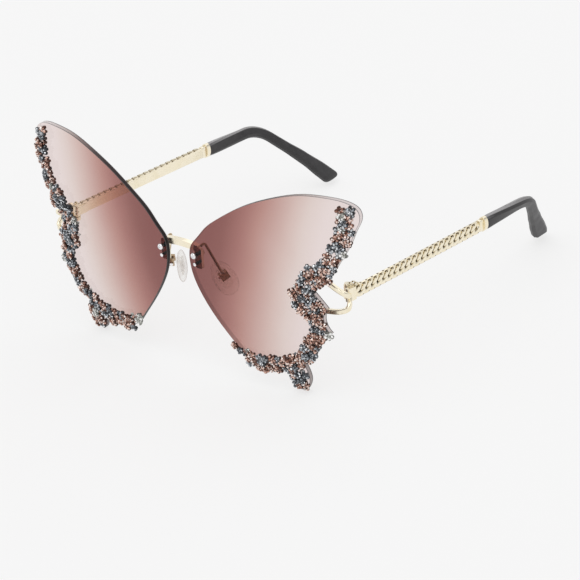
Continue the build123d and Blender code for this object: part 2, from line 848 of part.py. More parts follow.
def main():
    os.makedirs("parts", exist_ok=True)
    for name, make in (
        ("lens", lens),
        ("pad_arm", pad_arm),
        ("pad_box", pad_box),
        ("nose_pad", nose_pad),
        ("pad_insert", pad_insert),
        ("end_piece", end_piece),
        ("temple", temple),
        ("ferrule", ferrule),
        ("core_wire", core_wire),
        ("temple_tip", temple_tip),
    ):
        shape = make()
        save(name + "_left", shape)
        save(name + "_right", mirrored(shape))
    for name, shapes in trim_groups().items():
        print(name, len(shapes), "on each lens")
        save(name + "_left", Compound(children=shapes))
        save(name + "_right", Compound(children=[mirrored(shape) for shape in shapes]))
    save("bridge", bridge())
    for name, shape in (
        ("bridge_screws", bridge_screw()),
        ("bridge_washers", bridge_washer()),
        ("bridge_nuts", bridge_nut()),
        ("bridge_pins", bridge_pin()),
        ("pad_screws", pad_screw()),
        ("hinge_screws", hinge_screw()),
    ):
        save(name, both(shape))
    for name, make in (("end_piece_screws", fork_screw), ("end_piece_bushes", fork_bush)):
        halves = [both(make(plane)) for plane in fork_screw_planes]
        save(name, Compound(children=[solid for half in halves for solid in half.solids()]))
    hinge = to_table * Pos(*temple_plane.origin)
    print("left hinge", tuple(round(v, 3) for v in hinge.position), "axis", tuple(hinge_axis))
    pivot = to_table * Pos(*pad_frame.origin)
    print("left pad pivot", tuple(round(v, 3) for v in pivot.position), "axis", tuple(pad_frame.x_dir))


main()
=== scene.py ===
import math
import random

import bpy
from mathutils import Matrix, Vector


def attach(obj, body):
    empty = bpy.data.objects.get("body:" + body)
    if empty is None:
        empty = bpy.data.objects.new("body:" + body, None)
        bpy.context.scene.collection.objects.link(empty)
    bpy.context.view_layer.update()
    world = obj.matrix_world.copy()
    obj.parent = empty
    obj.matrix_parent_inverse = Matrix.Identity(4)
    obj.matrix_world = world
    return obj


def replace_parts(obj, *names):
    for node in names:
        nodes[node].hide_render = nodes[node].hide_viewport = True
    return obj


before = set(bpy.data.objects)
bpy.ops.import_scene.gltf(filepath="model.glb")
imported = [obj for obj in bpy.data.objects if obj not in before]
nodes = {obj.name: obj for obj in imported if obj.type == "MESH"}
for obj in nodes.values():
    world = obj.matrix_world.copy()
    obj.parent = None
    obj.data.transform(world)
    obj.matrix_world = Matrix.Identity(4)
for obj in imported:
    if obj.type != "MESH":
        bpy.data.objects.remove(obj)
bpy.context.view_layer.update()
sides = {"left": 1, "right": -1}
rng = random.Random(31)
mm = 0.001


def addObject(name, data):
    thing = bpy.data.objects.new(name, data)
    bpy.context.scene.collection.objects.link(thing)
    return thing


def addNode(tree, kind, **values):
    node = tree.nodes.new("ShaderNode" + kind)
    for name, value in values.items():
        setattr(node, name, value)
    return node


def feed(tree, socket, value):
    # Links the output of a node, or sets a plain value
    if isinstance(value, bpy.types.NodeSocket):
        tree.links.new(value, socket)
    else:
        socket.default_value = value


def newMaterial(name):
    material = bpy.data.materials.new(name)
    material.use_nodes = True
    return material, material.node_tree, material.node_tree.nodes["Principled BSDF"]


def mathOf(tree, operation, first, second=0.0, clamp=False):
    node = addNode(tree, "Math", operation=operation, use_clamp=clamp)
    feed(tree, node.inputs[0], first)
    feed(tree, node.inputs[1], second)
    return node.outputs[0]


def vectorOf(tree, operation, first, second=(0, 0, 0)):
    node = addNode(tree, "VectorMath", operation=operation)
    feed(tree, node.inputs[0], first)
    feed(tree, node.inputs[1], second)
    return node.outputs["Value" if operation in ("DOT_PRODUCT", "LENGTH") else "Vector"]


def splitOf(tree, vector):
    split = addNode(tree, "SeparateXYZ")
    tree.links.new(vector, split.inputs[0])
    return split


def noiseAt(tree, scale, detail=3.0):
    place = addNode(tree, "TexCoord")
    noise = addNode(tree, "TexNoise")
    noise.inputs["Scale"].default_value = scale
    noise.inputs["Detail"].default_value = detail
    tree.links.new(place.outputs["Object"], noise.inputs["Vector"])
    return noise.outputs["Fac"]


def rampOf(tree, source, stops):
    ramp = addNode(tree, "ValToRGB")
    points = ramp.color_ramp.elements
    while len(points) < len(stops):
        points.new(0.5)
    for point, (place, colour) in zip(points, stops):
        point.position = place
        point.color = (*colour, 1)
    tree.links.new(source, ramp.inputs["Fac"])
    return ramp.outputs["Color"]


def rangeOf(tree, source, low, high, fromLow=0.3, fromHigh=0.7):
    # The usual limits suit a noise, which seldom leaves them
    node = addNode(tree, "MapRange")
    node.inputs["From Min"].default_value = fromLow
    node.inputs["From Max"].default_value = fromHigh
    node.inputs["To Min"].default_value = low
    node.inputs["To Max"].default_value = high
    tree.links.new(source, node.inputs["Value"])
    return node.outputs["Result"]


def bumpOf(tree, source, strength, distance):
    node = addNode(tree, "Bump")
    node.inputs["Strength"].default_value = strength
    node.inputs["Distance"].default_value = distance
    tree.links.new(source, node.inputs["Height"])
    return node.outputs["Normal"]


def mixOf(tree, share, first, second):
    node = addNode(tree, "Mix", data_type="RGBA")
    for socket, value in ((node.inputs[0], share), (node.inputs[6], first), (node.inputs[7], second)):
        feed(tree, socket, value)
    return node.outputs[2]


def mixShaders(tree, share, first, second):
    node = addNode(tree, "MixShader")
    for socket, source in zip(node.inputs, (share, first, second)):
        tree.links.new(source, socket)
    return node.outputs[0]


def showShader(tree, shader):
    tree.links.new(shader, tree.nodes["Material Output"].inputs["Surface"])


print("stage: camera, floor and light")

# The view of the photograph: a long lens, the object turned to the left and seen from a little above
cameraSet = {
    "azimuth": 42.153,
    "elevation": 26.845,
    "roll": -5.985,
    "distance": 1.18606,
    "aim": Vector((0.03370, -0.05416, 0.03000)),
    "focal": 207.8,
    "sensor": 36.0,
}


def makeCamera():
    azimuth, elevation, roll = (math.radians(cameraSet[k]) for k in ("azimuth", "elevation", "roll"))
    level = math.cos(elevation)
    back = Vector((math.sin(azimuth) * level, -math.cos(azimuth) * level, math.sin(elevation)))
    right = Vector((math.cos(azimuth), math.sin(azimuth), 0))
    up = back.cross(right)
    turnedRight = right * math.cos(roll) + up * math.sin(roll)
    turnedUp = up * math.cos(roll) - right * math.sin(roll)
    camera = addObject("camera", bpy.data.cameras.new("camera"))
    camera.data.sensor_fit = "HORIZONTAL"
    camera.data.sensor_width = cameraSet["sensor"]
    camera.data.lens = cameraSet["focal"]
    camera.data.clip_end = 50
    turn = Matrix((turnedRight, turnedUp, back)).transposed().to_4x4()
    camera.matrix_world = Matrix.Translation(cameraSet["aim"] + back * cameraSet["distance"]) @ turn
    bpy.context.scene.camera = camera


makeCamera()

floorSet = {
    "size": 12.0,
    "below": 0.0001,
    "colour": (0.93, 0.93, 0.93, 1),
    "rough": 0.9,
    "glow": (0.932, 0.930, 0.926, 1),
    "share": 0.75,
}


def makeFloor():
    half = floorSet["size"] / 2
    mesh = bpy.data.meshes.new("floor")
    corners = [(-half, -half, 0), (half, -half, 0), (half, half, 0), (-half, half, 0)]
    mesh.from_pydata(corners, [], [(0, 1, 2, 3)])
    floor = addObject("floor", mesh)
    floor.location.z = -floorSet["below"]
    material, tree, shader = newMaterial("paleFloor")
    shader.inputs["Base Color"].default_value = floorSet["colour"]
    shader.inputs["Roughness"].default_value = floorSet["rough"]
    shader.inputs["Specular IOR Level"].default_value = 0.0
    # Most of what the camera and the metal see of the floor is an even pale tone, the rest keeps the shadow
    path = addNode(tree, "LightPath")
    glow = addNode(tree, "Emission")
    glow.inputs["Color"].default_value = floorSet["glow"]
    total = path.outputs["Is Camera Ray"]
    for ray in ("Is Glossy Ray", "Is Transmission Ray"):
        total = mathOf(tree, "MAXIMUM", total, path.outputs[ray])
    share = mathOf(tree, "MULTIPLY", total, floorSet["share"])
    showShader(tree, mixShaders(tree, share, shader.outputs[0], glow.outputs[0]))
    mesh.materials.append(material)


makeFloor()

# Wide soft lamps far off, so that the floor is lit evenly
lampSet = {
    "key": {"turn": (30, 0, 25), "power": 0.95, "angle": 70},
    "fill": {"turn": (55, 0, -95), "power": 0.45, "angle": 80},
    "back": {"turn": (-50, 0, 10), "power": 0.45, "angle": 60},
}
# Sky tones by height: the low one is what metal sees of the room round the floor
skySet = {"stops": ((0.16, (0.93, 0.93, 0.93)), (0.42, (0.36, 0.36, 0.37)), (0.95, (0.62, 0.63, 0.65)))}


def makeLamps():
    for name, values in lampSet.items():
        lamp = addObject(name, bpy.data.lights.new(name, "SUN"))
        lamp.data.energy = values["power"]
        lamp.data.angle = math.radians(values["angle"])
        lamp.rotation_euler = [math.radians(v) for v in values["turn"]]


def makeSky():
    world = bpy.data.worlds.new("studio")
    bpy.context.scene.world = world
    world.use_nodes = True
    tree = world.node_tree
    split = splitOf(tree, addNode(tree, "TexCoord").outputs["Generated"])
    sky = rampOf(tree, split.outputs["Z"], skySet["stops"])
    tree.links.new(sky, tree.nodes["Background"].inputs["Color"])


makeLamps()
makeSky()
bpy.context.scene.view_settings.view_transform = "Standard"

print("stage: materials")


def toneOf(tree):
    # Each facet carries its tone in the red of the colour attribute "tone": painted shade on the chain and
    # blade, painted reflections on the stones
    tone = addNode(tree, "Attribute", attribute_name="tone")
    split = addNode(tree, "SeparateColor")
    tree.links.new(tone.outputs["Color"], split.inputs[0])
    return split.outputs[0]


goldSet = {
    # The darkest gold is painted shade, laid on by the tone attribute in hollows and under the chain
    "paintedShade": (0.20, 0.14, 0.06, 1),
    "deep": (0.92, 0.83, 0.62),
    "pale": (0.97, 0.89, 0.71),
    "cloudAt": (0.25, 0.60),
    # Dimming darkens the pale gold as painted shade for the nose pad wires
    "dim": 0.52,
    "redder": 0.35,
    "cloud": 300.0,
    "grain": 5200.0,
    "rough": (0.18, 0.30),
    "bump": (0.06, 0.00001),
}


def goldMaterial(name, withShade=False, dim=1.0):
    material, tree, shader = newMaterial(name)
    cloud = noiseAt(tree, goldSet["cloud"], 4.0)
    grain = noiseAt(tree, goldSet["grain"], 2.0)
    # A dimmer gold is a redder one
    dims = [dim ** (1 + goldSet["redder"] * i) for i in range(3)]
    stops = [
        (place, tuple(c * d for c, d in zip(goldSet[key], dims)))
        for place, key in zip(goldSet["cloudAt"], ("deep", "pale"))
    ]
    colour = rampOf(tree, cloud, stops)
    # Where the tone is low the gold turns to the painted shade colour
    if withShade:
        colour = mixOf(tree, toneOf(tree), goldSet["paintedShade"], colour)
    tree.links.new(colour, shader.inputs["Base Color"])
    tree.links.new(rangeOf(tree, grain, *goldSet["rough"]), shader.inputs["Roughness"])
    tree.links.new(bumpOf(tree, grain, *goldSet["bump"]), shader.inputs["Normal"])
    shader.inputs["Metallic"].default_value = 1.0
    return material


silverSet = {
    "stops": ((0.25, (0.62, 0.62, 0.64)), (0.55, (0.93, 0.93, 0.94))),
    "cloud": 900.0,
    "grain": 6000.0,
    "rough": (0.10, 0.24),
    "bump": (0.10, 0.00002),
}


def silverMaterial():
    material, tree, shader = newMaterial("brightSilver")
    cloud = noiseAt(tree, silverSet["cloud"])
    tree.links.new(rampOf(tree, cloud, silverSet["stops"]), shader.inputs["Base Color"])
    tree.links.new(rangeOf(tree, cloud, *silverSet["rough"]), shader.inputs["Roughness"])
    grain = noiseAt(tree, silverSet["grain"])
    tree.links.new(bumpOf(tree, grain, *silverSet["bump"]), shader.inputs["Normal"])
    shader.inputs["Metallic"].default_value = 1.0
    return material


# Stops run in metres from the nose to the outer side, and "stops" is what one face lets through
lensSet = {
    "centre": (0.012904, 0.146018, 0.0369),
    "radius": 0.220,
    "thick": 0.0018,
    "widest": 0.08,
    "stops": (
        (0.012, (0.520, 0.330, 0.318)),
        (0.018, (0.543, 0.354, 0.338)),
        (0.026, (0.645, 0.446, 0.424)),
        (0.032, (0.726, 0.544, 0.512)),
        (0.038, (0.788, 0.646, 0.617)),
        (0.044, (0.846, 0.740, 0.712)),
        (0.050, (0.888, 0.818, 0.795)),
        (0.057, (0.918, 0.859, 0.849)),
        (0.076, (0.925, 0.875, 0.865)),
    ),
    "lean": -0.28,
    "leanFrom": (-0.046, 0.034),
    "tall": 0.08,
    "cloud": 60.0,
    "cloudShift": 0.008,
    "edges": (
        (0.0, (0.020, 0.016, 0.016)),
        (0.034, (0.024, 0.020, 0.020)),
        (0.050, (0.085, 0.075, 0.075)),
        (0.062, (0.30, 0.28, 0.28)),
        (0.076, (0.50, 0.48, 0.48)),
    ),
    "thin": ((0.0, 0.0), (0.040, 0.04), (0.058, 0.55), (0.076, 0.72)),
    "edgeFrom": (0.45, 0.75),
    "edgeGrain": 2500.0,
    "edgeRough": (0.30, 0.50),
    "edgeShine": 0.12,
    "line": (0.11, 0.10, 0.10, 1),
    "lineShare": 0.75,
    "lineWide": 0.00032,
    "lineSoft": 0.00006,
    "gloss": 1.3,
    "glossRough": 0.04,
    "inside": 0.30,
}


def acrossLens(values):
    return [(x / lensSet["widest"], value) for x, value in values]


def lensTint(tree, across, height):
    # The tint leans: it grows lighter towards the bottom as well
    low, high = (lensSet["lean"] * z / lensSet["widest"] for z in lensSet["leanFrom"])
    rise = rangeOf(tree, height, low, high, 0.0, lensSet["tall"])
    cloud = rangeOf(tree, noiseAt(tree, lensSet["cloud"], 2.0), -lensSet["cloudShift"], lensSet["cloudShift"])
    place = mathOf(tree, "ADD", mathOf(tree, "ADD", across, rise), cloud)
    return rampOf(tree, place, acrossLens(lensSet["stops"]))


def lensEdge(tree, place, across, side, outside):
    # The edge is where the surface stands square to the line from the sphere's centre
    x, y, z = lensSet["centre"]
    radial = vectorOf(tree, "SUBTRACT", place.outputs["Object"], (side * x, y, z))
    facing = vectorOf(tree, "DOT_PRODUCT", vectorOf(tree, "NORMALIZE", radial), place.outputs["Normal"])
    edge = rangeOf(tree, mathOf(tree, "ABSOLUTE", facing), 1.0, 0.0, *lensSet["edgeFrom"])
    # It is black where the tint is deep, and further out pale between two fine lines
    half = lensSet["thick"] / 2
    deep = vectorOf(tree, "LENGTH", radial)
    offMiddle = mathOf(tree, "ABSOLUTE", mathOf(tree, "SUBTRACT", deep, lensSet["radius"] - half))
    lineFrom, soft = half - lensSet["lineWide"], lensSet["lineSoft"]
    line = rangeOf(tree, offMiddle, 0.0, 1.0, lineFrom - soft, lineFrom + soft)
    thin = rampOf(tree, across, acrossLens((x, (v, v, v)) for x, v in lensSet["thin"]))
    fade = mathOf(tree, "MULTIPLY", thin, rangeOf(tree, line, 1.0, 0.0, 0.0, 1.0))
    solid = rangeOf(tree, fade, 1.0, 0.0, 0.0, 1.0)
    seen = rangeOf(tree, outside, lensSet["inside"], 1.0, 0.0, 1.0)
    share = mathOf(tree, "MULTIPLY", mathOf(tree, "MULTIPLY", edge, solid), seen)
    pale = rampOf(tree, across, acrossLens(lensSet["edges"]))
    dark = mixOf(tree, lensSet["lineShare"], pale, lensSet["line"])
    return share, mixOf(tree, line, pale, dark)


def lensMaterial(side):
    material, tree, shader = newMaterial("roseTint" + ("Left" if side > 0 else "Right"))
    place = addNode(tree, "TexCoord")
    split = splitOf(tree, place.outputs["Object"])
    across = rangeOf(tree, split.outputs["X"], 0.0, 1.0, 0.0, side * lensSet["widest"])
    clear = addNode(tree, "BsdfTransparent")
    tree.links.new(lensTint(tree, across, split.outputs["Z"]), clear.inputs["Color"])
    outside = mathOf(tree, "SUBTRACT", 1.0, addNode(tree, "NewGeometry").outputs["Backfacing"])
    edge, colour = lensEdge(tree, place, across, side, outside)
    tree.links.new(colour, shader.inputs["Base Color"])
    rough = rangeOf(tree, noiseAt(tree, lensSet["edgeGrain"]), *lensSet["edgeRough"])
    tree.links.new(rough, shader.inputs["Roughness"])
    shader.inputs["Specular IOR Level"].default_value = lensSet["edgeShine"]
    gloss = addNode(tree, "BsdfGlossy")
    gloss.inputs["Roughness"].default_value = lensSet["glossRough"]
    fresnel = addNode(tree, "Fresnel")
    fresnel.inputs["IOR"].default_value = lensSet["gloss"]
    share = mathOf(tree, "MULTIPLY", fresnel.outputs[0], outside)
    faces = mixShaders(tree, share, clear.outputs[0], gloss.outputs[0])
    showShader(tree, mixShaders(tree, edge, faces, shader.outputs[0]))
    return material


# Tones of the facets, from the darkest to the brightest: the dark and bright facets are painted reflections
# on each stone colour
crystalSet = {
    "copper": ((0.0, (0.022, 0.010, 0.007)), (0.28, (0.15, 0.065, 0.045)), (0.52, (0.44, 0.225, 0.165)),
               (0.76, (0.80, 0.53, 0.43)), (1.0, (1.0, 0.93, 0.88))),
    "grey": ((0.0, (0.022, 0.023, 0.026)), (0.30, (0.095, 0.102, 0.112)), (0.60, (0.235, 0.255, 0.28)),
             (0.84, (0.44, 0.47, 0.50)), (1.0, (0.90, 0.91, 0.92))),
    "clear": ((0.0, (0.08, 0.08, 0.07)), (0.35, (0.42, 0.43, 0.39)), (0.7, (0.86, 0.85, 0.82)),
              (1.0, (1.0, 0.99, 0.98))),
}
shineSet = {
    "metallic": {"copper": 0.62, "grey": 0.62, "clear": 0.30},
    "cloud": 1600.0,
    "cloudShift": 0.10,
    "grain": 4000.0,
    "rough": (0.08, 0.20),
    "dents": 3000.0,
    "bump": (0.08, 0.00003),
}


def crystalMaterial(name):
    material, tree, shader = newMaterial(name + "Crystal")
    cloud = rangeOf(tree, noiseAt(tree, shineSet["cloud"]), -shineSet["cloudShift"], shineSet["cloudShift"])
    tone = mathOf(tree, "ADD", toneOf(tree), cloud, clamp=True)
    tree.links.new(rampOf(tree, tone, crystalSet[name]), shader.inputs["Base Color"])
    rough = rangeOf(tree, noiseAt(tree, shineSet["grain"]), *shineSet["rough"])
    tree.links.new(rough, shader.inputs["Roughness"])
    dents = noiseAt(tree, shineSet["dents"])
    tree.links.new(bumpOf(tree, dents, *shineSet["bump"]), shader.inputs["Normal"])
    shader.inputs["Metallic"].default_value = shineSet["metallic"][name]
    return material


tipSet = {
    "stops": ((0.3, (0.018, 0.017, 0.018)), (0.7, (0.034, 0.032, 0.033))),
    "upper": (0.30, 0.29, 0.29, 1),
    "upperFrom": (0.60, 0.97),
    "cloud": 300.0,
    "grain": 9000.0,
    "rough": (0.34, 0.46),
    "bump": (0.10, 0.00002),
}


def tipMaterial():
    material, tree, shader = newMaterial("blackSleeve")
    cloud = noiseAt(tree, tipSet["cloud"], 4.0)
    black = rampOf(tree, cloud, tipSet["stops"])
    # Faces that look up get a satin grey as a painted sheen of the light from above
    split = splitOf(tree, addNode(tree, "NewGeometry").outputs["Normal"])
    sheenShare = rangeOf(tree, split.outputs["Z"], 0.0, 1.0, *tipSet["upperFrom"])
    tree.links.new(mixOf(tree, sheenShare, black, tipSet["upper"]), shader.inputs["Base Color"])
    tree.links.new(rangeOf(tree, cloud, *tipSet["rough"]), shader.inputs["Roughness"])
    grain = noiseAt(tree, tipSet["grain"], 2.0)
    tree.links.new(bumpOf(tree, grain, *tipSet["bump"]), shader.inputs["Normal"])
    return material


padSet = {
    "stops": ((0.3, (0.80, 0.79, 0.76)), (0.7, (0.88, 0.87, 0.85))),
    "pass": ((0.35, (0.975, 0.97, 0.96)), (0.9, (0.66, 0.60, 0.57))),
    "haze": (0.01, 0.34),
    "hazeFrom": (0.1, 1.0),
    "cloud": 500.0,
    "rough": (0.12, 0.26),
    "blend": 0.25,
}


def padMaterial():
    material, tree, shader = newMaterial("clearSilicone")
    cloud = noiseAt(tree, padSet["cloud"])
    tree.links.new(rampOf(tree, cloud, padSet["stops"]), shader.inputs["Base Color"])
    tree.links.new(rangeOf(tree, cloud, *padSet["rough"]), shader.inputs["Roughness"])
    clear = addNode(tree, "BsdfTransparent")
    rim = addNode(tree, "LayerWeight")
    rim.inputs["Blend"].default_value = padSet["blend"]
    # Light that passes the rounded rim loses more than light that passes the middle
    tree.links.new(rampOf(tree, rim.outputs["Facing"], padSet["pass"]), clear.inputs["Color"])
    share = rangeOf(tree, rim.outputs["Facing"], *padSet["haze"], *padSet["hazeFrom"])
    showShader(tree, mixShaders(tree, share, clear.outputs[0], shader.outputs[0]))
    return material


gold = goldMaterial("paleGold")
# The chain gold carries painted shade from the tone attribute
chainGold = goldMaterial("chainGold", withShade=True)
# A dimmer copy of the pale gold is painted shade on the nose pad arms and boxes
wireGold = goldMaterial("wireGold", dim=goldSet["dim"])
silver = silverMaterial()
tipBlack = tipMaterial()
padClear = padMaterial()
crystals = {name: crystalMaterial(name) for name in crystalSet}
# Finishes by the start of the slot's name
finishSet = {
    "gold": gold,
    "silver": silver,
    "core": silver,
    "tip": tipBlack,
    "pad": padClear,
    "washer": padClear,
}


def dress(name, material):
    data = nodes[name].data
    for index in range(len(data.materials)):
        data.materials[index] = material


for name in nodes:
    slotName = nodes[name].data.materials[0].name
    for start, material in finishSet.items():
        if slotName.startswith(start):
            dress(name, material)
for sideName, side in sides.items():
    dress("lens_" + sideName, lensMaterial(side))
    dress("pad_arm_" + sideName, wireGold)
    dress("pad_box_" + sideName, wireGold)

print("stage: shapes")


def makePiece(name, points, faces, material, body, tones=None, smooth=None):
    mesh = bpy.data.meshes.new(name)
    mesh.from_pydata([tuple(p) for p in points], [], faces)
    mesh.materials.append(material)
    if tones:
        layer = mesh.attributes.new("tone", "FLOAT_COLOR", "CORNER")
        for polygon, tone in zip(mesh.polygons, tones):
            for corner in polygon.loop_indices:
                layer.data[corner].color = (tone, tone, tone, 1)
    if smooth:
        mesh.polygons.foreach_set("use_smooth", [True] * len(mesh.polygons))
        mesh.set_sharp_from_angle(angle=math.radians(smooth))
    mesh.update()
    piece = addObject(name, mesh)
    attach(piece, body)
    return piece


def joinShape(store, points, faces, tones=None):
    start = len(store["points"])
    store["points"] += points
    store["faces"] += [tuple(start + i for i in face) for face in faces]
    store["tones"] += tones or [1.0] * len(faces)


def emptyStore():
    return {"points": [], "faces": [], "tones": []}


def ringFaces(rings, count, capped=True):
    faces = []
    for ring in range(rings - 1):
        for k in range(count):
            a, b = ring * count + k, ring * count + (k + 1) % count
            faces.append((a, b, b + count, a + count))
    if capped:
        faces.append(tuple(reversed(range(count))))
        faces.append(tuple((rings - 1) * count + k for k in range(count)))
    return faces


def lathe(profile, place, count, capped=True):
    # Turns a profile of (radius, height) round the third axis of its place
    points = []
    for radius, height in profile:
        for k in range(count):
            angle = 2 * math.pi * k / count
            points.append(place @ Vector((radius * math.cos(angle), radius * math.sin(angle), height)))
    return points, ringFaces(len(profile), count, capped)


def mirrorFaces(faces, side):
    return faces if side > 0 else [tuple(reversed(face)) for face in faces]


def roundedSection(wide, high, power, count):
    # Superellipse: power 2 is an oval, 4 and more a rounded oblong
    section = []
    for k in range(count):
        angle = 2 * math.pi * (k + 0.5) / count
        c, s = math.cos(angle), math.sin(angle)
        section.append((
            wide / 2 * math.copysign(abs(c) ** (2 / power), c),
            high / 2 * math.copysign(abs(s) ** (2 / power), s),
        ))
    return section


print("stage: temples")

hingeSet = {"place": (64.3, -58.347, 39.15), "slope": 4.6}


def templePoint(side, out, along, up):
    # Millimetres out from the hinge, back along the temple and up across it
    slope = math.radians(hingeSet["slope"])
    x, y, z = hingeSet["place"]
    return Vector((
        side * (x + out),
        y + along * math.cos(slope) + up * math.sin(slope),
        z - along * math.sin(slope) + up * math.cos(slope),
    )) * mm


# Each bar runs from one place along the temple to another, between two distances out from the hinge
bladeSet = {
    "bars": {
        "blade": {"out": (1.25, 2.35), "high": 3.9, "along": (1.3, 72.6), "bevel": 0.12, "power": 8},
        "collar": {"out": (1.23, 3.25), "high": 4.3, "along": (72.3, 74.7), "bevel": 0.22, "power": 6},
        "leaf": {"out": (0.30, 1.30), "high": 3.3, "along": (2.1, 6.3), "bevel": 0.18, "power": 6},
        "neck": {"out": (0.30, 1.30), "high": 2.1, "along": (0.4, 2.6), "bevel": 0.08, "power": 8},
    },
    "around": 32,
    "shade": 0.30,
    "pitOut": 1.77,
    "pitSize": (0.30, 0.55),
    "pitSides": 12,
    "pitRings": ((-0.1, 1.0), (0.04, 1.0), (0.07, 0.7)),
    "knuckle": ((0.66, -1.05), (1.22, -1.05), (1.34, -0.987), (1.4, -0.861), (1.4, 0.861), (1.34, 0.987),
                (1.22, 1.05), (0.66, 1.05)),
    "knuckleSides": 36,
    "smooth": 40,
}


def makeBar(store, side, values, shade=1.0):
    inner, outer = values["out"]
    begin, end = values["along"]
    bevel, count = values["bevel"], bladeSet["around"]
    ends = ((0, 1), (0.3, 0.3), (1, 0))
    stations = [(begin + bevel * a, bevel * b) for a, b in ends]
    stations += [(end - bevel * a, bevel * b) for a, b in reversed(ends)]
    points = []
    for along, less in stations:
        wide, high = outer - inner - 2 * less, values["high"] - 2 * less
        for a, b in roundedSection(wide, high, values["power"], count):
            points.append(templePoint(side, (inner + outer) / 2 + a, along, b))
    faces, tones = ringFaces(len(stations), count), []
    for face in faces:
        column = min(i % count for i in face)
        # The first and last quarter of the columns look away from the wearer
        outward = len(face) == 4 and not count / 4 - 2 <= column <= count * 3 / 4
        tones.append(shade if outward else 1.0)
    joinShape(store, points, mirrorFaces(faces, side), tones)


def makePit(store, side, along, edge):
    wide, long = bladeSet["pitSize"]
    points = []
    for up, share in bladeSet["pitRings"]:
        level = edge * (bladeSet["bars"]["blade"]["high"] / 2 + up)
        for k in range(bladeSet["pitSides"]):
            angle = 2 * math.pi * k / bladeSet["pitSides"]
            out = bladeSet["pitOut"] + wide * math.cos(angle) * share
            points.append(templePoint(side, out, along + long * math.sin(angle) * share, level))
    faces = ringFaces(len(bladeSet["pitRings"]), bladeSet["pitSides"])
    # The hollows are painted fully dark, as shade
    joinShape(store, points, mirrorFaces(faces, side * edge), [0.0] * len(faces))


def makeBlade(sideName, side):
    store = emptyStore()
    for title, values in bladeSet["bars"].items():
        # The outer face of the blade lies in the shade of the chain
        makeBar(store, side, values, bladeSet["shade"] if title == "blade" else 1.0)
    # Small hollows on the edges between the links, painted dark as shade
    for link in range(chainSet["links"] - 1):
        for edge in (1, -1):
            makePit(store, side, chainSet["first"] + (link + 0.5) * chainSet["pitch"], edge)
    # Middle knuckle with its bore
    profile = bladeSet["knuckle"] + bladeSet["knuckle"][:1]
    turned, faces = lathe(profile, Matrix(), bladeSet["knuckleSides"], capped=False)
    joinShape(store, [templePoint(side, *p) for p in turned], mirrorFaces(faces, side))
    return makePiece(
        "blade" + sideName.capitalize(), store["points"], store["faces"], chainGold, sideName + "_temple",
        store["tones"], bladeSet["smooth"]
    )


# Links of the chain: "flat" is how far out they are filed off, "spot" the dark spot of painted shade where
# two of them meet
chainSet = {
    "links": 22,
    "first": 3.35,
    "pitch": 3.17,
    "long": 1.98,
    "high": 1.50,
    "lean": 0.18,
    "twist": -0.40,
    "wire": 0.82,
    "wireDeep": 0.46,
    "lift": 0.46,
    "flat": 1.02,
    "crest": 0.45,
    "side": 0.10,
    "sideShade": 0.86,
    "footShade": 0.52,
    "edge": 1.0,
    "edgeUnder": -0.2,
    "spot": 0.24,
    "spotLean": 0.35,
    "spotFrom": 1.55,
    "turns": 56,
    "around": 14,
    "loops": ((0.1, 2.75, 0.95, -1.3), (1.2, 2.85, 1.05, -0.9), (2.1, 2.45, 0.8, -0.3)),
    "loopHigh": 0.8,
    "loopTilt": 0.3,
    "loopWire": 0.26,
    "loopFlat": 1.0,
    "smooth": 50,
}


def linkTone(level, atEdge, middle):
    c = chainSet
    # Where two links meet at the edge a small dark spot is painted as shade
    apart = abs(abs(middle.x - c["spotLean"] * middle.y) - c["pitch"] / 2)
    if abs(middle.y) > c["spotFrom"] and apart < c["spot"]:
        return 0.0
    # The tops of the links stay bright, while their sides and their feet toward the blade get painted shade
    if level > c["crest"] or atEdge and level < c["edgeUnder"]:
        return 1.0
    return c["sideShade"] if level > c["side"] else c["footShade"]


def tubeLoop(line, wide, deep, flat):
    # Closed tube round a line of (along, up, out) points, oval in section and filed flat outside
    points, faces, tones = [], [], []
    count, around = len(line), chainSet["around"]
    for i, spot in enumerate(line):
        ahead = line[(i + 1) % count] - line[i - 1]
        ahead.z = 0
        ahead.normalize()
        beside = Vector((-ahead.y, ahead.x, 0))
        for k in range(around):
            angle = 2 * math.pi * (k + 0.5) / around
            p = spot + beside * wide * math.cos(angle)
            p.z = min(spot.z + deep * math.sin(angle), flat)
            points.append(p)
    for i in range(count):
        atEdge = abs(line[i].y) > chainSet["edge"]
        for k in range(around):
            a, b = i * around + k, i * around + (k + 1) % around
            c, d = (i + 1) % count * around + k, (i + 1) % count * around + (k + 1) % around
            faces.append((a, b, d, c))
            level = math.sin(2 * math.pi * (k + 1) / around)
            tones.append(linkTone(level, atEdge, (points[a] + points[b]) / 2))
    return points, faces, tones


def makeChain(sideName, side):
    store = emptyStore()
    c = chainSet
    base = bladeSet["bars"]["blade"]["out"][1]
    angles = [2 * math.pi * k / c["turns"] for k in range(c["turns"])]

    def addLoop(line, wide, deep, flat, centre):
        tube, faces, tones = tubeLoop(line, wide, deep, flat)
        points = [templePoint(side, base + p.z, centre + p.x, p.y) for p in tube]
        joinShape(store, points, mirrorFaces(faces, side), tones)

    line = []
    for t in angles:
        up = c["high"] * math.sin(t)
        out = c["lift"] + c["twist"] * math.sin(2 * t)
        line.append(Vector((c["long"] * math.cos(t) + c["lean"] * up, up, out)))
    for link in range(c["links"]):
        addLoop(line, c["wire"], c["wireDeep"], c["flat"], c["first"] + link * c["pitch"])
    # Three small loops stand up where the chain starts
    for along, up, size, out in c["loops"]:
        line = [
            Vector((
                size * math.cos(t), up + size * c["loopHigh"] * math.sin(t), out + c["loopTilt"] * math.cos(t)
            ))
            for t in angles
        ]
        addLoop(line, c["loopWire"], c["loopWire"], c["loopFlat"], along)
    return makePiece(
        "chain" + sideName.capitalize(), store["points"], store["faces"], chainGold, sideName + "_temple",
        store["tones"], c["smooth"]
    )


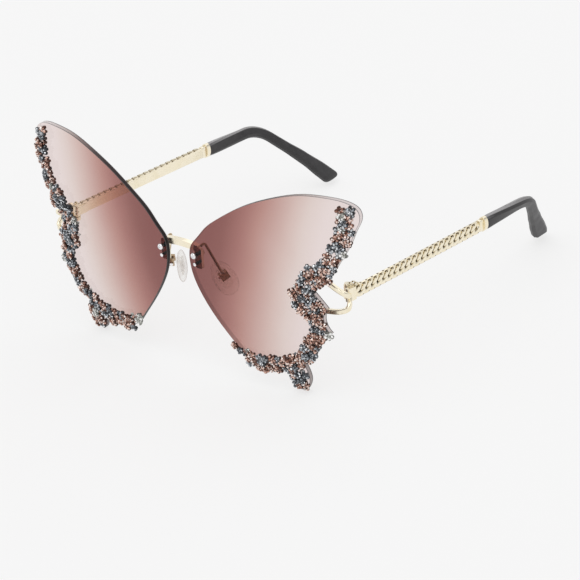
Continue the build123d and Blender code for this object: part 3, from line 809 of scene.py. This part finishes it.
for sideName, side in sides.items():
    blade = makeBlade(sideName, side)
    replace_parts(blade, "temple_" + sideName)
    makeChain(sideName, side)

print("stage: temple tips")

bendSet = {
    "start": 76.5,
    "middle": 2.25,
    "straight": 21.16,
    "radius": 16.5,
    "angle": 48.0,
    "tilt": 32.3,
}


def tipFrame(along):
    # Middle of the sleeve, the way that it runs, its height and its width
    tilt, bend = math.radians(bendSet["tilt"]), math.radians(bendSet["angle"])
    radius, first = bendSet["radius"], bendSet["straight"]
    turn = min(max((along - first) / radius, 0), bend)
    rest = max(along - first - radius * bend, 0)
    x = min(along, first) + radius * math.sin(turn) + rest * math.cos(turn)
    y = radius * (1 - math.cos(turn)) + rest * math.sin(turn)
    down = Vector((-math.sin(tilt), 0, -math.cos(tilt)))
    flat = Vector((-math.cos(tilt), 0, math.sin(tilt)))
    twist = tilt * max(0, 1 - along / first)
    run = Vector((0, math.cos(turn), 0)) + down * math.sin(turn)
    broad = down * math.cos(turn) - Vector((0, math.sin(turn), 0))
    high = broad * math.cos(twist) - flat * math.sin(twist)
    middle = Vector((bendSet["middle"], bendSet["start"] + x, 0)) + down * y
    return middle, run, high, flat * math.cos(twist) + broad * math.sin(twist)


# "sizes" are height and width at shares of the length, and from "free" on the sleeve leaves the bend's line
sleeveSet = {
    "length": 67.6,
    "sizes": ((0.0, 4.8, 3.1), (0.03, 4.9, 3.2), (0.28, 4.5, 3.0), (0.50, 4.0, 2.9), (0.62, 4.2, 2.9),
              (0.78, 5.2, 2.95), (0.92, 6.4, 3.0), (1.0, 6.6, 2.9)),
    "slant": 0.62,
    "slantFrom": 0.80,
    "free": 49.0,
    "freePower": 1.5,
    "aside": (0.9, 0, -1.0),
    "ease": (-0.55, -0.45, 0),
    "easeBy": 20.0,
    "chamfer": 0.8,
    "chamferMost": 0.36,
    "corner": 5,
    "cornerShare": 0.56,
    "mouth": ((0.02, 0.90), (0.12, 0.97)),
    "steps": 64,
    "capSteps": 8,
    "capFrom": 1.0,
    "capLong": 2.3,
    "capPower": 0.42,
    "capLeast": 0.10,
    "capThin": 0.25,
    "floor": 0.00002,
    "smooth": 50,
}


def sizeAt(share):
    sizes = sleeveSet["sizes"]
    for (low, h0, w0), (high, h1, w1) in zip(sizes, sizes[1:]):
        if share <= high:
            t = (share - low) / (high - low)
            t = t * t * (3 - 2 * t)
            return h0 + (h1 - h0) * t, w0 + (w1 - w0) * t
    return sizes[-1][1:]


def sleeveSection(wide, tall):
    # Oblong with broad chamfers, each of its eight corners slightly rounded
    cut = min(sleeveSet["chamfer"], sleeveSet["chamferMost"] * wide, sleeveSet["chamferMost"] * tall)
    half, high = wide / 2, tall / 2
    corners = [(half, -high + cut), (half, high - cut), (half - cut, high), (-half + cut, high),
               (-half, high - cut), (-half, -high + cut), (-half + cut, -high), (half - cut, -high)]
    section = []
    steps = sleeveSet["corner"]
    for i, corner in enumerate(corners):
        before, after = corners[i - 1], corners[(i + 1) % len(corners)]
        for k in range(steps):
            t = k / (steps - 1) - 0.5
            other = after if t > 0 else before
            share = abs(t) * sleeveSet["cornerShare"]
            section.append(tuple(corner[j] + share * (other[j] - corner[j]) for j in (0, 1)))
    return section


def sleeveStations():
    # Places along the sleeve, and how much of its size it has there
    steps, length = sleeveSet["steps"], sleeveSet["length"]
    stations = [*sleeveSet["mouth"]] + [(length * k / steps, 1.0) for k in range(1, steps)]
    for k in range(1, sleeveSet["capSteps"] + 1):
        angle = math.pi / 2 * k / sleeveSet["capSteps"]
        along = length - sleeveSet["capFrom"] + sleeveSet["capLong"] * math.sin(angle)
        stations.append((along, max(math.cos(angle) ** sleeveSet["capPower"], sleeveSet["capLeast"])))
    return stations


def makeSleeve(sideName, side):
    s = sleeveSet
    points = []
    stations = sleeveStations()
    for along, share in stations:
        middle, run, high, flat = tipFrame(along)
        tall, wide = sizeAt(min(along / s["length"], 1))
        slant = s["slant"] * max(0.0, along / s["length"] - s["slantFrom"]) / (1 - s["slantFrom"])
        loose = max(0.0, (along - s["free"]) / (s["length"] - s["free"])) ** s["freePower"]
        middle = middle + Vector(s["aside"]) * loose + Vector(s["ease"]) * min(along / s["easeBy"], 1)
        for a, b in sleeveSection(wide * (s["capThin"] + (1 - s["capThin"]) * share), tall * share):
            p = middle + flat * a + high * b - run * (b * slant)
            p = templePoint(side, p.x, p.y, p.z)
            p.z = max(p.z, s["floor"])
            points.append(p)
    faces = mirrorFaces(ringFaces(len(stations), 8 * s["corner"]), side)
    name = "sleeve" + sideName.capitalize()
    return makePiece(name, points, faces, tipBlack, sideName + "_temple", None, s["smooth"])


for sideName, side in sides.items():
    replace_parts(makeSleeve(sideName, side), "temple_tip_" + sideName)

print("stage: nose pads and bridge screws")

# "crown" gives the size of the pad at shares of its thickness, from its back to its face
noseSet = {
    "pivot": (12.2, -64.549, 35.3),
    "flare": 15.0,
    "lean": 20.0,
    "splay": 28.0,
    "drop": 2.9,
    "standOff": 2.1,
    "thick": 2.6,
    "long": 15.0,
    "wide": 8.2,
    "taper": 0.20,
    "power": 2.25,
    "crown": ((0.0, 0.66), (0.03, 0.76), (0.12, 0.87), (0.28, 0.96), (0.45, 1.0), (0.62, 0.965),
              (0.76, 0.87), (0.87, 0.72), (0.94, 0.55), (0.98, 0.36), (1.0, 0.14)),
    "around": 56,
    "smooth": 70,
}


def makeNosePad(sideName, side):
    n = noseSet
    flare, lean, splay = (math.radians(n[k]) for k in ("flare", "lean", "splay"))
    up = Vector((-math.tan(flare), -math.tan(lean), 1)).normalized()
    inward = Vector((-math.cos(splay), math.sin(splay), 0))
    normal = (inward - up * inward.dot(up)).normalized()
    across = up.cross(normal)
    centre = Vector(n["pivot"]) - up * n["drop"]
    points = []
    for rise, size in n["crown"]:
        level = centre + normal * (n["standOff"] + rise * n["thick"])
        for a, b in roundedSection(n["wide"] * size, n["long"] * size, n["power"], n["around"]):
            p = (level + across * a * (1 - n["taper"] * b / n["long"]) + up * b) * mm
            points.append(Vector((side * p.x, p.y, p.z)))
    faces = mirrorFaces(ringFaces(len(n["crown"]), n["around"]), side)
    name = "nosePad" + sideName.capitalize()
    return makePiece(name, points, faces, padClear, sideName + "_nose_pad", None, n["smooth"])


for sideName, side in sides.items():
    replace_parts(makeNosePad(sideName, side), "nose_pad_" + sideName)

# "head" is the profile of (radius, height) from inside the lug to the dimple on top
screwSet = {
    "out": 7.8,
    "height": 46.0,
    "head": ((0.02, -3.9), (0.62, -3.9), (0.62, 0.42), (1.08, 0.42), (1.14, 0.50), (1.15, 0.60),
             (1.10, 0.74), (0.98, 0.88), (0.80, 1.00), (0.58, 1.08), (0.42, 1.12), (0.36, 1.10),
             (0.32, 0.92), (0.02, 0.90)),
    "around": 40,
    "smooth": 35,
}


def lensPlace(side, x, z):
    # Place on the front face of a lens, its third axis straight out of the glass
    centre = Vector(lensSet["centre"]) / mm
    reach = (lensSet["radius"] / mm) ** 2 - (x - centre.x) ** 2 - (z - centre.z) ** 2
    spot = Vector((x, centre.y - math.sqrt(reach), z))
    normal = (spot - centre).normalized()
    normal.x *= side
    spot.x *= side
    first = Vector((1, 0, 0))
    first = (first - normal * first.dot(normal)).normalized()
    turn = Matrix((first, normal.cross(first), normal)).transposed().to_4x4()
    return Matrix.Translation(spot) @ turn


def makeBridgeScrews():
    store = emptyStore()
    for side in sides.values():
        place = lensPlace(side, screwSet["out"], screwSet["height"])
        points, faces = lathe(screwSet["head"], place, screwSet["around"])
        joinShape(store, [p * mm for p in points], faces)
    return makePiece(
        "bridgeScrews", store["points"], store["faces"], silver, "front", None,
        screwSet["smooth"]
    )


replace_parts(makeBridgeScrews(), "bridge_screws")

print("stage: stone flowers")

# Shares of facets up to a limit, each with its span on the tone ramp; dark and bright facets are painted
# reflections, the mostly bright tops painted highlights, the dark rims painted shade
toneSet = {
    "facets": ((0.46, (0.0, 0.24)), (0.80, (0.30, 0.66)), (1.0, (0.80, 1.0))),
    "tops": ((0.72, (0.70, 1.0)), (1.0, (0.2, 0.55))),
    "rims": (0.0, 0.16),
    "back": 0.62,
}


def toneFor(kind="facets"):
    pick = rng.random()
    return next(rng.uniform(*span) for limit, span in toneSet[kind] if pick < limit)


def islandsOf(name):
    # The separate bodies in the mesh of a node, each as its points
    mesh = nodes[name].data
    keys = [tuple(round(c, 7) for c in v.co) for v in mesh.vertices]
    index = {key: i for i, key in enumerate(dict.fromkeys(keys))}
    root = list(range(len(index)))

    def top(i):
        while root[i] != i:
            root[i] = root[root[i]]
            i = root[i]
        return i

    for polygon in mesh.polygons:
        first = top(index[keys[polygon.vertices[0]]])
        for v in polygon.vertices[1:]:
            root[top(index[keys[v]])] = first
    groups = {}
    for key, i in index.items():
        groups.setdefault(top(i), []).append(Vector(key))
    return list(groups.values())


def seatOf(points, side):
    # Where a trim piece of the solids sits on its lens, and its radius and height
    centre = Vector(lensSet["centre"])
    centre.x *= side
    normal = (sum(points, Vector()) / len(points) - centre).normalized()
    base = centre + normal * lensSet["radius"]
    far = max(points, key=lambda p: (p - base - normal * (p - base).dot(normal)).length)
    flat = far - base
    flat -= normal * flat.dot(normal)
    first = flat.normalized()
    height = max((p - base).dot(normal) for p in points)
    turn = Matrix((first, normal.cross(first), normal)).transposed().to_4x4()
    return Matrix.Translation(base) @ turn, flat.length, height


# Sizes are shares of the flower's radius or height, and "rings" are (size, level) up a petal's cut stone
flowerSet = {
    "petals": 5,
    "sides": 8,
    "centre": 0.62,
    "oval": ((0.50, (0.86, 1.04)), (0.455, (0.88, 1.04))),
    "level": (0.46, 0.64),
    "tilt": (4.0, 30.0),
    "rings": ((0.60, -0.85), (1.0, -0.30), (1.0, -0.06), (0.56, 0.34)),
    "least": 0.02,
    "stoneSides": 8,
    "heart": 0.36,
    "heartSides": 8,
    "heartFrom": 0.42,
    "heartHigh": 0.56,
    "lean": 13.0,
    "leanLeast": 0.2,
    "leanRise": 0.45,
}


def petal(radius, height, angle):
    count = flowerSet["sides"]
    tilt = math.radians(rng.uniform(*flowerSet["tilt"]))
    long, wide = (share * radius * rng.uniform(*span) for share, span in flowerSet["oval"])
    middle = flowerSet["centre"] * radius
    up = height * rng.uniform(*flowerSet["level"])
    points = []
    turned = rng.uniform(0, 2 * math.pi)
    for share, level in flowerSet["rings"]:
        rise = up * level
        for k in range(count):
            turn = 2 * math.pi * k / count + turned
            x, y = share * long * math.cos(turn), share * wide * math.sin(turn)
            x, z = x * math.cos(tilt) - rise * math.sin(tilt), x * math.sin(tilt) + rise * math.cos(tilt)
            points.append(Vector((middle + x, y, max(up + z, flowerSet["least"] * height))))
    faces = ringFaces(len(flowerSet["rings"]), count)
    # The lower rims of each petal are painted dark as shade, and the other facets get painted reflections
    rims = 2 * count
    tones = [rng.uniform(*toneSet["rims"]) if i < rims else toneFor() for i in range(len(faces) - 2)]
    tones += [toneSet["back"], toneFor("tops")]
    swing = Matrix.Rotation(angle, 3, "Z")
    return [swing @ p for p in points], faces, tones


# Rings of (size, level, turn) up a round cut stone
stoneRings = ((0.55, 0.0, 0.0), (1.0, 0.42, 0.5), (1.0, 0.52, 0.5), (0.80, 0.80, 0.0), (0.52, 1.0, 0.5))


def brilliant(radius, base, height, count):
    points, faces = [], []
    for share, up, turn in stoneRings:
        for k in range(count):
            angle = 2 * math.pi * (k + turn) / count
            across = radius * share
            points.append(Vector((across * math.cos(angle), across * math.sin(angle), base + up * height)))
    for ring in range(len(stoneRings) - 1):
        for k in range(count):
            a, b = ring * count + k, ring * count + (k + 1) % count
            c, d = a + count, b + count
            if stoneRings[ring][2] < stoneRings[ring + 1][2]:
                faces += [(a, b, c), (b, d, c)]
            elif stoneRings[ring][2] > stoneRings[ring + 1][2]:
                faces += [(a, d, c), (a, b, d)]
            else:
                faces += [(a, b, d, c)]
    last = (len(stoneRings) - 1) * count
    faces.append(tuple(range(last, last + count)))
    faces.append(tuple(reversed(range(count))))
    return points, faces


def addStone(store, place, radius, base, height, count):
    points, faces = brilliant(radius, base, height, count)
    joinShape(store, [place @ p for p in points], faces, [toneFor() for _ in faces])


def addFlower(store, place, radius, height):
    # Each flower leans its own way and stands up a little for it
    f = flowerSet
    lean = math.radians(rng.uniform(f["leanLeast"], 1.0) * f["lean"])
    way = rng.uniform(0, 2 * math.pi)
    rise = Matrix.Translation((0, 0, f["leanRise"] * radius * math.sin(lean)))
    place = place @ rise @ Matrix.Rotation(lean, 4, Vector((math.cos(way), math.sin(way), 0)))
    for k in range(f["petals"]):
        points, faces, tones = petal(radius, height, 2 * math.pi * k / f["petals"])
        joinShape(store, [place @ p for p in points], faces, tones)
    base, high = height * f["heartFrom"], height * f["heartHigh"]
    addStone(store, place, f["heart"] * radius, base, high, f["heartSides"])


def storePiece(title, store, colour):
    return makePiece(
        title, store["points"], store["faces"], crystals[colour], "front", store["tones"]
    )


seats = {"left": [], "right": []}


def makeFlowers(nodeName, colour, part, sideName):
    store = emptyStore()
    for island in islandsOf(nodeName):
        place, radius, height = seatOf(island, sides[sideName])
        seats[sideName].append((place, radius))
        addFlower(store, place, radius, height)
    title = colour + "Flowers" + part.capitalize() + sideName.capitalize()
    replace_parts(storePiece(title, store, colour), nodeName)


def makeStones(nodeName, part, sideName):
    store = emptyStore()
    for island in islandsOf(nodeName):
        place, radius, height = seatOf(island, sides[sideName])
        seats[sideName].append((place, radius))
        addStone(store, place, radius, 0.0, height, flowerSet["stoneSides"])
    title = "stones" + part.capitalize() + sideName.capitalize()
    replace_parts(storePiece(title, store, "clear"), nodeName)


# Smaller flowers and stones between the first ones, in millimetres; a layer has its number of tries, its
# sizes, its spacing as a share of the sizes, its lift off the lens, and the share of flowers in it
fillSet = {
    "layers": ((500, (1.5, 1.95), 0.70, (0.0, 0.3), 1.0), (700, (1.4, 1.8), 0.55, (0.5, 0.9), 1.0),
               (800, (0.50, 0.80), 0.74, (0.0, 0.5), 0.0)),
    "colours": (("copper", "grey", "clear"), (0.56, 0.37, 0.07)),
    "high": 1.3,
    "stoneHigh": 1.9,
    "stoneSides": 7,
    "near": 5.0,
    "between": (0.3, 0.7),
    "aside": 0.96,
    "edgeNear": 5.2,
    "edgeStep": 2.2,
    "edgeIn": (0.2, 0.9),
    "edgeSizes": (1.35, 1.8),
    "edgeSpacing": 0.50,
    "edgeLift": 0.1,
    "lowest": 1.15,
    "widest": 0.0750,
    "highest": 0.0765,
    "foremost": -0.0746,
}


def insideSize(spot, normal, small):
    # Nothing added reaches beyond the outline of the solids
    low = spot.z < fillSet["lowest"] * small
    high = spot.z + small > fillSet["highest"] or abs(spot.x) + small > fillSet["widest"]
    return not low and not high and (spot + normal * fillSet["high"] * small).y > fillSet["foremost"]


def isFree(spot, small, spacing, taken):
    return all((spot - p).length >= spacing * (r + small) for p, r in taken)


borderSet = {"near": 0.0003, "facing": 0.8, "step": 0.0004}


def lensBorder(sideName, side):
    # Points on the border of the front face, each with the way into the lens and out of the glass
    centre = Vector(lensSet["centre"])
    centre.x *= side
    mesh = nodes["lens_" + sideName].data
    edges = {}
    for polygon in mesh.polygons:
        out = polygon.center - centre
        offFace = abs(out.length - lensSet["radius"]) > borderSet["near"]
        if offFace or polygon.normal.dot(out.normalized()) < borderSet["facing"]:
            continue
        keys = [tuple(round(c, 6) for c in mesh.vertices[v].co) for v in polygon.vertices]
        for a, b in zip(keys, keys[1:] + keys[:1]):
            edges.setdefault(tuple(sorted((a, b))), []).append(polygon.center.copy())
    border = []
    for (a, b), owners in edges.items():
        a, b = Vector(a), Vector(b)
        if len(owners) > 1 or (b - a).length < 1e-6:
            continue
        steps = max(1, round((b - a).length / borderSet["step"]))
        for k in range(steps):
            spot = a + (b - a) * (k + 0.5) / steps
            normal = (spot - centre).normalized()
            inward = normal.cross((b - a).normalized())
            if inward.dot(owners[0] - spot) < 0:
                inward.negate()
            border.append((spot, inward, normal))
    return border


def fillEdge(sideName, stores, taken):
    border = lensBorder(sideName, sides[sideName])
    rng.shuffle(border)
    added = []
    for spot, inward, normal in border:
        small = rng.uniform(*fillSet["edgeSizes"]) * mm
        spot = spot + inward * rng.uniform(*fillSet["edgeIn"]) * mm
        if min((spot - place.translation).length for place, _ in seats[sideName]) > fillSet["edgeNear"] * mm:
            continue
        if not isFree(spot, small, fillSet["edgeSpacing"], taken):
            continue
        if any((spot - p).length < fillSet["edgeStep"] * mm for p in added):
            continue
        if not insideSize(spot, normal, small):
            continue
        added.append(spot)
        taken.append((spot, small))
        first = (inward - normal * inward.dot(normal)).normalized()
        turn = Matrix((first, normal.cross(first), normal)).transposed().to_4x4()
        place = Matrix.Translation(spot + normal * fillSet["edgeLift"] * mm) @ turn
        kind = rng.choices(*fillSet["colours"])[0]
        addFlower(stores[kind], place, small, small * fillSet["high"])


def fillMiddle(sideName, stores, taken):
    starts = [place for place, _ in seats[sideName]]
    pairs = [
        (first, second) for first in starts for second in starts
        if first is not second and (first.translation - second.translation).length < fillSet["near"] * mm
    ]
    for tries, sizes, spacing, lifts, flowerShare in fillSet["layers"]:
        for _ in range(tries):
            start, other = rng.choice(pairs)
            small = rng.uniform(*sizes) * mm
            between = (other.translation - start.translation) * rng.uniform(*fillSet["between"])
            normal = start.col[2].to_3d()
            beside = normal.cross(between).normalized() * rng.uniform(-1, 1) * fillSet["aside"] * mm
            spot = start.translation + between + beside + normal * rng.uniform(*lifts) * mm
            if not insideSize(spot, normal, small) or not isFree(spot, small, spacing, taken):
                continue
            taken.append((spot, small))
            place = start.copy()
            place.translation = spot
            place = place @ Matrix.Rotation(rng.uniform(0, 6.28), 4, "Z")
            kind = rng.choices(*fillSet["colours"])[0]
            if rng.random() < flowerShare:
                addFlower(stores[kind], place, small, small * fillSet["high"])
            else:
                addStone(stores[kind], place, small, 0.0, small * fillSet["stoneHigh"], fillSet["stoneSides"])


def fillGaps(sideName):
    stores = {kind: emptyStore() for kind in fillSet["colours"][0]}
    taken = [(place.translation, radius) for place, radius in seats[sideName]]
    fillEdge(sideName, stores, taken)
    fillMiddle(sideName, stores, taken)
    for kind, store in stores.items():
        print("added", sideName, kind, len(store["faces"]), "facets")
        if store["faces"]:
            storePiece(kind + "Fill" + sideName.capitalize(), store, kind)


for nodeName in sorted(nodes):
    words = nodeName.split("_")
    if words[0] == "flowers":
        makeFlowers(nodeName, *words[1:])
    elif words[0] == "stones":
        makeStones(nodeName, *words[1:])

print("stage: smaller flowers and stones")

for sideName in sides:
    fillGaps(sideName)
